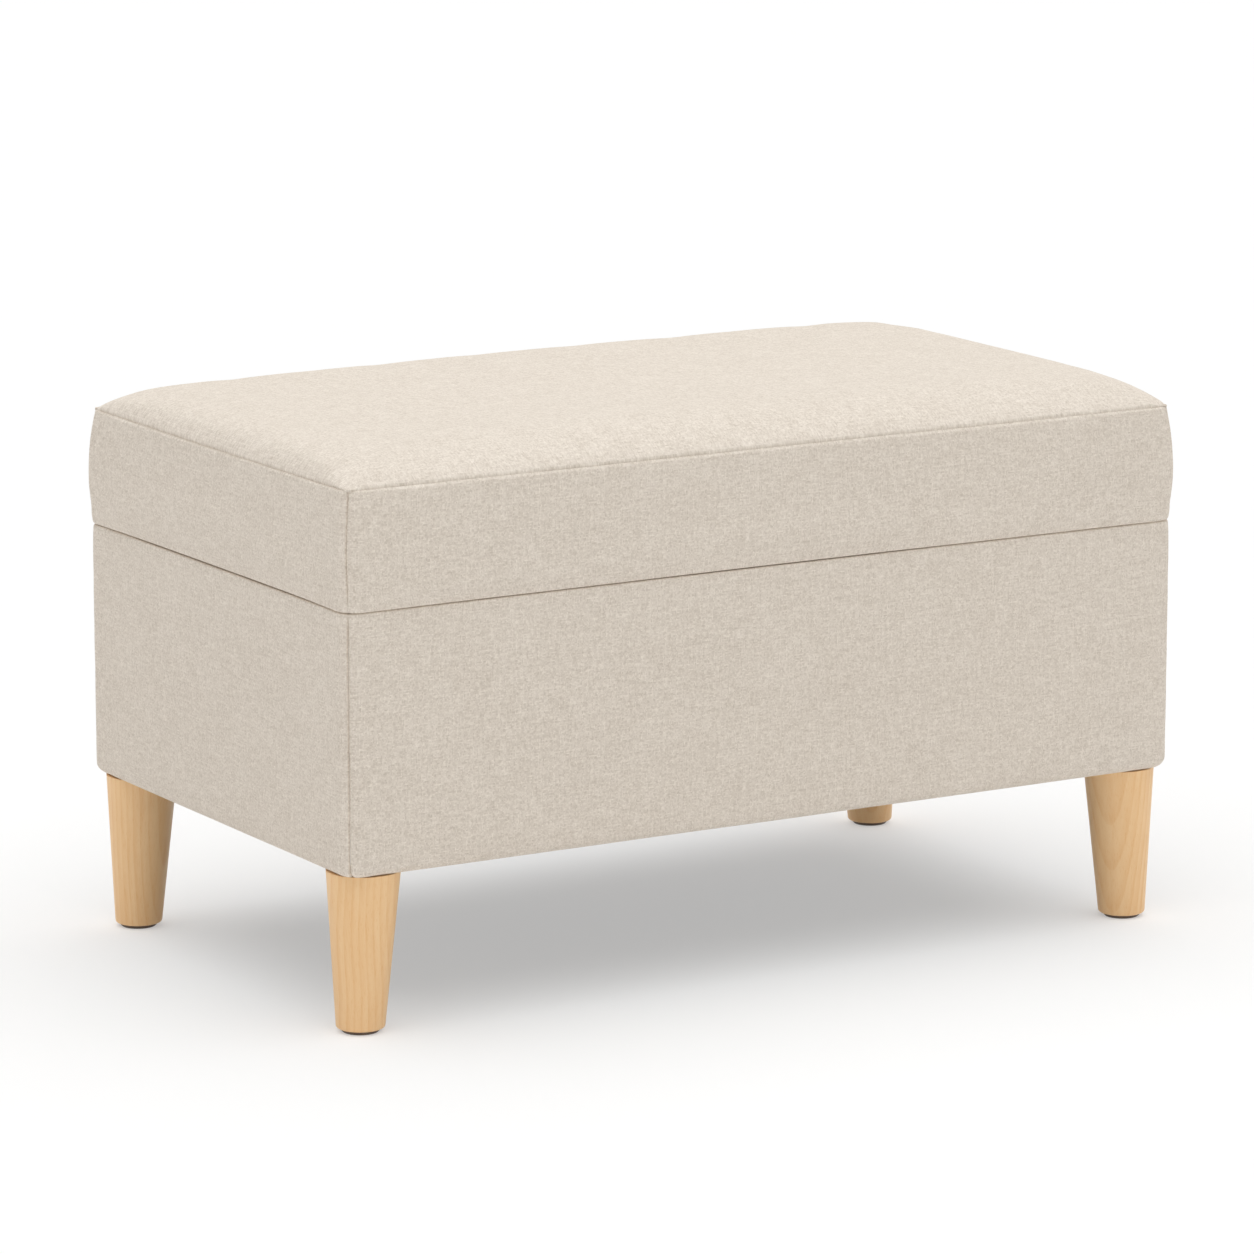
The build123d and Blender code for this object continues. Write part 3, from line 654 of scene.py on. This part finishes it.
dust_t = [i / 15 - 1 for i in range(31)]
dust_points = np.array([(x, dust_reach(x) * t, dust_low.z) for x in dust_x for t in dust_t])
edge_away = np.minimum(dust_high.x - np.abs(dust_points[:, 0]), dust_high.y - np.abs(dust_points[:, 1]))
dust_points[:, 2] -= DUST_SAG * np.clip(edge_away / (60 * MM), 0, 1)
dust_points[:, 2] += lumps(dust_points, RIPPLES_PER_METRE) * DUST_RIPPLE
dust_cover = flat_sheet("dust_cover_sheet", dust_points, len(dust_t), 1.0 * MM)
dust_cover.data.materials.append(dust_cloth)
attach(dust_cover, "base")
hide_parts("dust_cover")


# Staples: flat zinc-plated wire with a 10 mm crown, driven through the cloth's edge into the board about
# every 5 cm. These hold the dust cover; those of the two linings are driven further on.
STAPLE_STEP, STAPLE_IN = 52 * MM, 7 * MM
STAPLE_OUTLINE = [(-5, -2.2), (-5, 0.1), (-4.7, 0.4), (4.7, 0.4), (5, 0.1), (5, -2.2),
                  (4.4, -2.2), (4.4, -0.15), (-4.4, -0.15), (-4.4, -2.2)]
STAPLE_WIRE = 1.2 * MM


def staple_row(start, end, out):
    """Places along a line: middle of the crown, direction of the crown, direction it stands proud."""
    run = Vector(end) - Vector(start)
    count = max(2, round(run.length / STAPLE_STEP))
    return [(Vector(start) + run * (i + 0.5) / count, run.normalized(), Vector(out)) for i in range(count)]


def driven_staples(name, rows, body):
    """All the staples of one sheet as a piece of their own."""
    shape = bmesh.new()
    for place, along, out in (staple for row in rows for staple in row):
        across = out.cross(along)
        sides = []
        for half in (-0.5, 0.5):
            ring = [place + along * x * MM + out * h * MM + across * STAPLE_WIRE * half
                    for x, h in STAPLE_OUTLINE]
            sides.append([shape.verts.new(point) for point in ring])
        shape.faces.new(sides[0][::-1])
        shape.faces.new(sides[1])
        for i in range(len(STAPLE_OUTLINE)):
            j = (i + 1) % len(STAPLE_OUTLINE)
            shape.faces.new((sides[0][i], sides[0][j], sides[1][j], sides[1][i]))
    bmesh.ops.recalc_face_normals(shape, faces=shape.faces)
    mesh = bpy.data.meshes.new(name)
    shape.to_mesh(mesh)
    shape.free()
    staples = place_mesh(name, mesh)
    eased = staples.modifiers.new("rolled_wire", "BEVEL")
    eased.width, eased.segments = 0.12 * MM, 2
    staples.data.materials.append(zinc)
    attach(staples, body)


def staples_round(low, high, z, out, ends_x, ends_y):
    """Rows along the four edges of a flat sheet, stopping short of its corners."""
    near, far = (low.x + STAPLE_IN, low.y + STAPLE_IN), (high.x - STAPLE_IN, high.y - STAPLE_IN)
    rows = [staple_row((-ends_x, y, z), (ends_x, y, z), out) for y in (near[1], far[1])]
    return rows + [staple_row((x, -ends_y, z), (x, ends_y, z), out) for x in (near[0], far[0])]


DOWNWARDS = (0, 0, -1)
dust_rows = staples_round(dust_low, dust_high, dust_low.z - 0.2 * MM, DOWNWARDS, 318 * MM, 154 * MM)
driven_staples("dust_cover_staples", dust_rows, "base")

# Storage lining: a bag of dark taupe cloth, folded up from one cut piece, stapled to the walls under
# the turned-over cover and boxed round the corner battens.
LINING_PALE, LINING_DARK = (0.30, 0.27, 0.24), (0.17, 0.15, 0.13)
lining_cloth = woven_finish("lining_weave", LINING_PALE, LINING_DARK, 0.8 * MM, 0.6, 0.25 * MM, 0.1)
LINING, LINING_CLOTH = 1.0 * MM, 0.9 * MM
lining_low, lining_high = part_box("storage_lining")
BATTEN, FOLD = 20 * MM, 4 * MM
reach_x, reach_y = lining_high.x - LINING, lining_high.y - LINING


def bag_lines(reach, step):
    """Grid lines across the bag's floor, close together beside the folds."""
    notch = reach - BATTEN
    count = round(2 * (notch - FOLD) / step)
    middle = [(notch - FOLD) * (2 * i / count - 1) for i in range(count + 1)]
    folds = [notch, notch + FOLD, reach - FOLD, reach]
    return [-x for x in folds[::-1]] + middle + folds


def plan_key(place):
    return tuple(round(c, 5) for c in place)


def cover_battens(shape):
    """Fold a flap of the bag over the end of each corner batten."""
    rim = [v for v in shape.verts if abs(v.co.z - lining_high.z) < 0.01 * MM]
    top = {plan_key(v.co[:2]): v for v in rim}
    lines = [[reach - BATTEN, reach - BATTEN + FOLD, reach - FOLD, reach] for reach in (reach_x, reach_y)]
    for sx, sy in ((1, 1), (1, -1), (-1, 1), (-1, -1)):
        flap = {}
        for i, x in enumerate(lines[0]):
            for j, y in enumerate(lines[1]):
                place = (sx * x, sy * y)
                flap[i, j] = top.get(plan_key(place)) or shape.verts.new((*place, lining_high.z))
        for i in range(3):
            for j in range(3):
                shape.faces.new((flap[i, j], flap[i + 1, j], flap[i + 1, j + 1], flap[i, j + 1]))


def bag_mesh():
    """The floor, the walls drawn up from its edge, the flaps, and a little slack in the walls."""
    shape = bmesh.new()
    xs, ys = bag_lines(reach_x, 16 * MM), bag_lines(reach_y, 16 * MM)
    floor_z = lining_low.z + LINING
    grid = [[shape.verts.new((x, y, floor_z)) for y in ys] for x in xs]
    for i in range(len(xs) - 1):
        for j in range(len(ys) - 1):
            in_corner = (i < 3 or i >= len(xs) - 4) and (j < 3 or j >= len(ys) - 4)
            if not in_corner:
                shape.faces.new((grid[i][j], grid[i + 1][j], grid[i + 1][j + 1], grid[i][j + 1]))
    bmesh.ops.delete(shape, geom=[v for v in shape.verts if not v.link_faces], context="VERTS")
    wall = lining_high.z - floor_z
    heights = [FOLD] + [12 * MM + 13 * MM * i for i in range(11)] + [wall - s * MM for s in (9, 8, 7, 1, 0)]
    edge = [e for e in shape.edges if e.is_boundary]
    for height in heights:
        grown = bmesh.ops.extrude_edge_only(shape, edges=edge)["geom"]
        for v in (g for g in grown if isinstance(g, bmesh.types.BMVert)):
            v.co.z = floor_z + height
        edge = [g for g in grown if isinstance(g, bmesh.types.BMEdge) and g.is_boundary]
    cover_battens(shape)
    bmesh.ops.recalc_face_normals(shape, faces=shape.faces)
    up = next(f for f in shape.faces if abs(f.normal.z) > 0.9)
    if up.normal.z < 0:
        bmesh.ops.reverse_faces(shape, faces=shape.faces)
    shape.normal_update()
    for v in shape.verts:
        loose = 0.2 * MM if abs(v.normal.x) > 0.5 else 0.9 * MM
        from_rim = min(1, (lining_high.z - v.co.z) / (20 * MM))
        v.co += v.normal * loose * (noise.noise(v.co * 14) + 0.3) * from_rim
    layer = shape.loops.layers.uv.new("cloth_lay")
    for face in shape.faces:
        flat = max(range(3), key=lambda k: abs(face.normal[k]))
        for loop in face.loops:
            x, y, z = loop.vert.co
            loop[layer].uv = ((y, z), (x, z), (x, y))[flat]
        face.smooth = True
    mesh = bpy.data.meshes.new("storage_lining_bag")
    shape.to_mesh(mesh)
    shape.free()
    return mesh


lining_bag = place_mesh("storage_lining_bag", bag_mesh())
rounded = lining_bag.modifiers.new("folds", "SUBSURF")
rounded.levels = rounded.render_levels = 1
thick = lining_bag.modifiers.new("cloth", "SOLIDIFY")
thick.thickness, thick.offset = LINING_CLOTH, -1
lining_bag.data.materials.append(lining_cloth)
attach(lining_bag, "base")
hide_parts("storage_lining")
staple_z = lining_high.z - 4.5 * MM
notch_x, notch_y = reach_x - BATTEN - 12 * MM, reach_y - BATTEN - 12 * MM
wall_rows = [staple_row((-notch_x, s * reach_y, staple_z), (notch_x, s * reach_y, staple_z), (0, -s, 0))
             for s in (-1, 1)]
wall_rows += [staple_row((s * reach_x, -notch_y, staple_z), (s * reach_x, notch_y, staple_z), (-s, 0, 0))
              for s in (-1, 1)]
driven_staples("lining_staples", wall_rows, "base")

# Lid cushion: the linen cover over a foam block. A top panel and four side strips, joined by plain
# seams; the strips are turned under the lid board and stapled. The padding crowns the top and bows
# the sides out a little.
LID_LOW, SEAM_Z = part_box("lid_cover_front")[0].z - 0.33 * MM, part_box("lid_cover_front")[1].z
CROWN_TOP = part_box("lid_cover_top")[1].z
LID_ROUND, LID_TURNED = 5.5 * MM, 25 * MM
BULGE, SEAM_INSET, FOOT_INSET = 2 * MM, 3 * MM, -0.7 * MM
END_SPREAD, SIDE_SPREAD = 46 * MM, 110 * MM     # the crown levels out this far from the ends and the sides
CORNER_GROWTH, CROWN_DOME = 85 * MM, 4.5 * MM   # its outlines grow rounder; part of it swells lengthwise
CROWN_POWER, HALVINGS = 4.5, 40
KNOT, KNOT_EASE = 3 * MM, 14 * MM               # a corner's knot of seams, and how far round it shape is kept


def side_inset(z):
    """How far the lid's side stands in from the box's face."""
    half = (SEAM_Z - LID_LOW) / 2
    t = (z - LID_LOW - half) / half
    bow = (SEAM_INSET + FOOT_INSET) / 2 + BULGE
    return -BULGE + bow * t * t + (SEAM_INSET - FOOT_INSET) / 2 * t


def outline_gap(x, y, from_end, from_side, radius):
    """How far outside a rounded rectangle in plan a place lies."""
    qx = np.abs(x) - (HALF_LENGTH - from_end - radius)
    qy = np.abs(y) - (HALF_DEPTH - from_side - radius)
    return np.hypot(np.maximum(qx, 0), np.maximum(qy, 0)) + np.minimum(np.maximum(qx, qy), 0) - radius


def crown_rise(x, y, inset, height):
    """Rise of the top above the seam: it rolls up sooner at the ends than along the sides."""
    low, high = np.zeros_like(x), np.ones_like(x)
    for _ in range(HALVINGS):
        step = (low + high) / 2
        radius = CORNER + CORNER_GROWTH * (1 - (1 - step) ** 2)
        gap = outline_gap(x, y, inset + END_SPREAD * step, inset + SIDE_SPREAD * step, radius)
        low, high = np.where(gap < 0, step, low), np.where(gap < 0, high, step)
    swell = height - CROWN_DOME * (x / HALF_LENGTH) ** 2
    return swell * (1 - (1 - low) ** CROWN_POWER)


def lid_shape(inset, low, top, low_rows):
    """The cushion's skin drawn in by inset: low_rows then the bowed sides up to the seam, then the crown.
    Gives points, quads, panels, cloth places, each point's distance from the seams, each row's along the
    cloth, the points in a row and each point's distance from the seams' knots."""
    heights = [low + (SEAM_Z - low) * t for t in np.linspace(0, 1, 14)[1:-1]]
    heights = [z for z in heights if z < SEAM_Z - 9 * MM] + [SEAM_Z - s * MM for s in SEAM_STEPS[::-1]]
    profile = low_rows + [(side_inset(z) + inset, z) for z in heights]
    points, quads, panels, lays, seam, down = wrap_sides(profile)
    ring = len(points) // len(profile)
    seam = np.minimum(seam, np.repeat(down[-1] - down, ring))
    top_row = len(points) - ring
    n_long, n_short = len(long_columns) - 1, len(short_columns) - 1
    edge = {}
    for i in range(n_long + 1):
        edge[i, 0] = top_row + i
        edge[i, n_short] = top_row + n_long + n_short + n_long - i
    for j in range(n_short + 1):
        edge[n_long, j] = top_row + n_long + j
        edge[0, j] = top_row + (2 * n_long + 2 * n_short - j) % ring

    def at(i, j):
        return points[edge[i, j]][:2]

    first, last = at(0, 0), at(n_long, n_short)
    share_u = [(at(i, 0)[0] - first[0]) / (last[0] - first[0]) for i in range(n_long + 1)]
    share_v = [(at(0, j)[1] - first[1]) / (last[1] - first[1]) for j in range(n_short + 1)]
    inner = []
    for i in range(1, n_long):
        for j in range(1, n_short):
            u, v = share_u[i], share_v[j]
            place = (1 - v) * at(i, 0) + v * at(i, n_short) + (1 - u) * at(0, j) + u * at(n_long, j)
            front = (1 - u) * first + u * at(n_long, 0)
            back = (1 - u) * at(0, n_short) + u * last
            edge[i, j] = len(points) + len(inner)
            inner.append(place - (1 - v) * front - v * back)
    inner = np.array(inner)
    rise = crown_rise(inner[:, 0], inner[:, 1], SEAM_INSET + inset, top - SEAM_Z)
    away = -outline_gap(inner[:, 0], inner[:, 1], SEAM_INSET + inset, SEAM_INSET + inset, CORNER)
    points = np.vstack([points, np.column_stack([inner, SEAM_Z + rise])])
    seam = np.concatenate([seam, np.hypot(away, rise)])
    knots = points[[edge[i, j] for i in (0, n_long) for j in (0, n_short)]]
    from_knot = np.min([np.linalg.norm(points - knot, axis=1) for knot in knots], axis=0)
    seam = np.maximum(seam, STITCH * fade(from_knot, KNOT))
    for i in range(n_long):
        for j in range(n_short):
            quad = (edge[i, j], edge[i + 1, j], edge[i + 1, j + 1], edge[i, j + 1])
            quads.append(quad)
            panels.append("top")
            lays.append([tuple(points[v][:2]) for v in quad])
    return points, quads, panels, lays, seam, down, ring, from_knot


lid_low_rows = [(LID_TURNED, LID_LOW), (LID_TURNED - 1 * MM, LID_LOW)]
lid_low_rows += [(inset * MM, LID_LOW) for inset in (22.5, 21.5, 18, 14, 10, 7)]
turn_centre = side_inset(LID_LOW + LID_ROUND) + LID_ROUND
lid_low_rows += arc_rows(turn_centre, LID_LOW + LID_ROUND, LID_ROUND, -90, 0, 4)
cushion, lid_quads, lid_panels, lid_lays, lid_seam, lid_down, ring, from_knot = lid_shape(
    0.0, LID_LOW + LID_ROUND, CROWN_TOP, lid_low_rows)
lid_held = np.zeros(len(cushion))
lid_held[: ring * (len(lid_low_rows) - 2)] = 1.0
tight = pull_tight(cushion, lid_quads, lid_held, lid_seam, 3 * MM)
tight = tight + (cushion - tight) * fade(from_knot, KNOT_EASE)[:, None]
pulled = tight - cushion
cushion = sew_seams(tight, lid_quads, lid_seam, 1.7 * MM, 0.5 * MM)
cushion = press_under_hinges(cushion, -1)
for part in (*SIDES, "top"):
    wanted = [i for i, panel in enumerate(lid_panels) if panel == part]
    panel = cut_panel(f"lid_{part}_fabric", cushion, lid_quads, lid_lays, wanted)
    panel.data.materials.append(linen)
    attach(panel, "lid")
    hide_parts(f"lid_cover_{part}")

# Lid padding: a block of pale upholstery foam glued on the lid board and shaped to the crown, with a
# layer of fibre wadding over it that is glued down round the board's edge.
FOAM_PALE, FOAM_DARK = (0.86, 0.79, 0.58), (0.74, 0.66, 0.44)
foam_cells = fibre_finish("foam_cells", FOAM_PALE, FOAM_DARK, 1100.0, 0.4 * MM)
foam_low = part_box("lid_foam")[0].z
FOAM_INSET = 8 * MM
block_rows = [(60 * MM, foam_low), (20 * MM, foam_low), (side_inset(foam_low) + FOAM_INSET, foam_low)]
block, block_quads = lid_shape(FOAM_INSET, foam_low + 2 * MM, CROWN_TOP - FOAM_INSET, block_rows)[:2]
foam = place_mesh("lid_foam_block", lay_mesh("lid_foam_block", block, block_quads, None))
closed = bmesh.new()
closed.from_mesh(foam.data)
bmesh.ops.holes_fill(closed, edges=[e for e in closed.edges if e.is_boundary], sides=0)
closed.to_mesh(foam.data)
closed.free()
foam.data.materials.append(foam_cells)
LAYER_INSET = FABRIC + 0.6 * MM
layer_rows = ring * (len(lid_low_rows) + 1)
layer = lid_shape(LAYER_INSET, LID_LOW + LID_ROUND, CROWN_TOP - LAYER_INSET, lid_low_rows)[0]
layer += pulled
layer[:, 2] -= 1.2 * MM * np.clip((layer[:, 2] - LID_LOW) / (60 * MM) - 0.5, 0, 1)
layer_quads = [tuple(v - layer_rows for v in quad) for quad in lid_quads if min(quad) >= layer_rows]
layer = layer[layer_rows:]
wadding_layer = place_mesh("lid_wadding_layer", lay_mesh("lid_wadding_layer", layer, layer_quads, None))
thick = wadding_layer.modifiers.new("loft", "SOLIDIFY")
thick.thickness, thick.offset = 5.5 * MM, -1
wadding_layer.data.materials.append(wadding_white)
for piece, replaced, slot in ((foam, "lid_foam", "foam"), (wadding_layer, "lid_wadding", "wadding")):
    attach(piece, "lid")
    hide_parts(replaced)

# Lid lining: a flat piece of the storage lining's cloth, its edges folded in and stapled to the lid
# board just inside the turned-under cover.
under_low, under_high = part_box("lid_lining")
under_x = np.linspace(under_low.x, under_high.x, 60)
under_y = np.linspace(under_low.y, under_high.y, 34)
under_points = np.array([(x, y, under_low.z) for x in under_x for y in under_y])
slack = np.minimum(under_high.x - np.abs(under_points[:, 0]), under_high.y - np.abs(under_points[:, 1]))
ripple = (lumps(under_points, 18) + 0.5) * 0.25 * MM
under_points[:, 2] += np.clip(ripple, 0, 0.4 * MM) * np.clip(slack / (30 * MM), 0, 1)
lid_lining = flat_sheet("lid_lining_sheet", under_points, len(under_y), LINING_CLOTH)
lid_lining.data.materials.append(lining_cloth)
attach(lid_lining, "lid")
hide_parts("lid_lining")
lid_rows = staples_round(under_low, under_high, under_low.z - 0.1 * MM, DOWNWARDS, 340 * MM, 176 * MM)
driven_staples("lid_lining_staples", lid_rows, "lid")

# Studio: a white floor under even overhead light, seen from the front left corner and a little above
# the lid. Where the camera or a reflection sees it, it is lifted towards white, and shadows stay.
floor_mesh = bpy.data.meshes.new("studio_floor")
floor_mesh.from_pydata([(-30, -30, 0), (30, -30, 0), (30, 30, 0), (-30, 30, 0)], [], [(0, 1, 2, 3)])
floor = place_mesh("studio_floor", floor_mesh)
floor_paint, floor_tree, floor_shader = new_finish("studio_white")
floor_shader.inputs["Base Color"].default_value = (0.97, 0.97, 0.97, 1)
floor_shader.inputs["Roughness"].default_value = 0.9
floor_shader.inputs["Specular IOR Level"].default_value = 0.0


def seen_share(tree, share):
    """share where the camera, a reflection or glass looks at the studio, and 0 where it only lights."""
    rays = add(tree, "ShaderNodeLightPath").outputs
    seen = calc(tree, "ADD", rays["Is Camera Ray"], rays["Is Glossy Ray"], clamp=True)
    seen = calc(tree, "ADD", seen, rays["Is Transmission Ray"], clamp=True)
    return calc(tree, "MULTIPLY", seen, share)


FLOOR_LIFT, SKY = 0.42, 0.28
paper = add(floor_tree, "ShaderNodeEmission", {"Color": (1, 1, 1, 1), "Strength": 1.0})
lifted = add(floor_tree, "ShaderNodeMixShader", {
    0: seen_share(floor_tree, FLOOR_LIFT), 1: floor_shader.outputs[0], 2: paper.outputs[0]})
plug(floor_tree, lifted.outputs[0], floor_tree.nodes["Material Output"].inputs["Surface"])
floor.data.materials.append(floor_paint)

WARM_LIGHT, WHITE = (1.0, 0.93, 0.84, 1), (1, 1, 1, 1)
world = bpy.data.worlds.new("studio_light")
world.use_nodes = True
sky_tree = world.node_tree
sky = sky_tree.nodes["Background"]
plug(sky_tree, mixed(sky_tree, seen_share(sky_tree, 1.0), WARM_LIGHT, WHITE), sky.inputs["Color"])
plug(sky_tree, calc(sky_tree, "ADD", seen_share(sky_tree, 1 - SKY), SKY), sky.inputs["Strength"])
bpy.context.scene.world = world
lamp = bpy.data.lights.new("overhead_softbox", "SUN")
lamp.energy = 0.80 * math.pi
lamp.color = (0.952, 0.977, 1.0)
lamp.angle = math.radians(90)
softbox = bpy.data.objects.new("overhead_softbox", lamp)
softbox.rotation_euler = Vector((-0.02, 0.05, -1.0)).to_track_quat("-Z", "Y").to_euler()
bpy.context.scene.collection.objects.link(softbox)

camera = bpy.data.objects.new("camera", bpy.data.cameras.new("camera"))
camera.location = (-2.62746, -4.42446, 1.30778)
looking_at = Vector((0.10182, 0.17931, 0.20680))
camera.rotation_euler = (looking_at - camera.location).to_track_quat("-Z", "Y").to_euler()
camera.data.sensor_fit = "HORIZONTAL"
camera.data.sensor_width = 36
camera.data.lens = 182.49
camera.data.clip_end = 100
bpy.context.scene.collection.objects.link(camera)
bpy.context.scene.camera = camera
bpy.context.scene.view_settings.view_transform = "Standard"
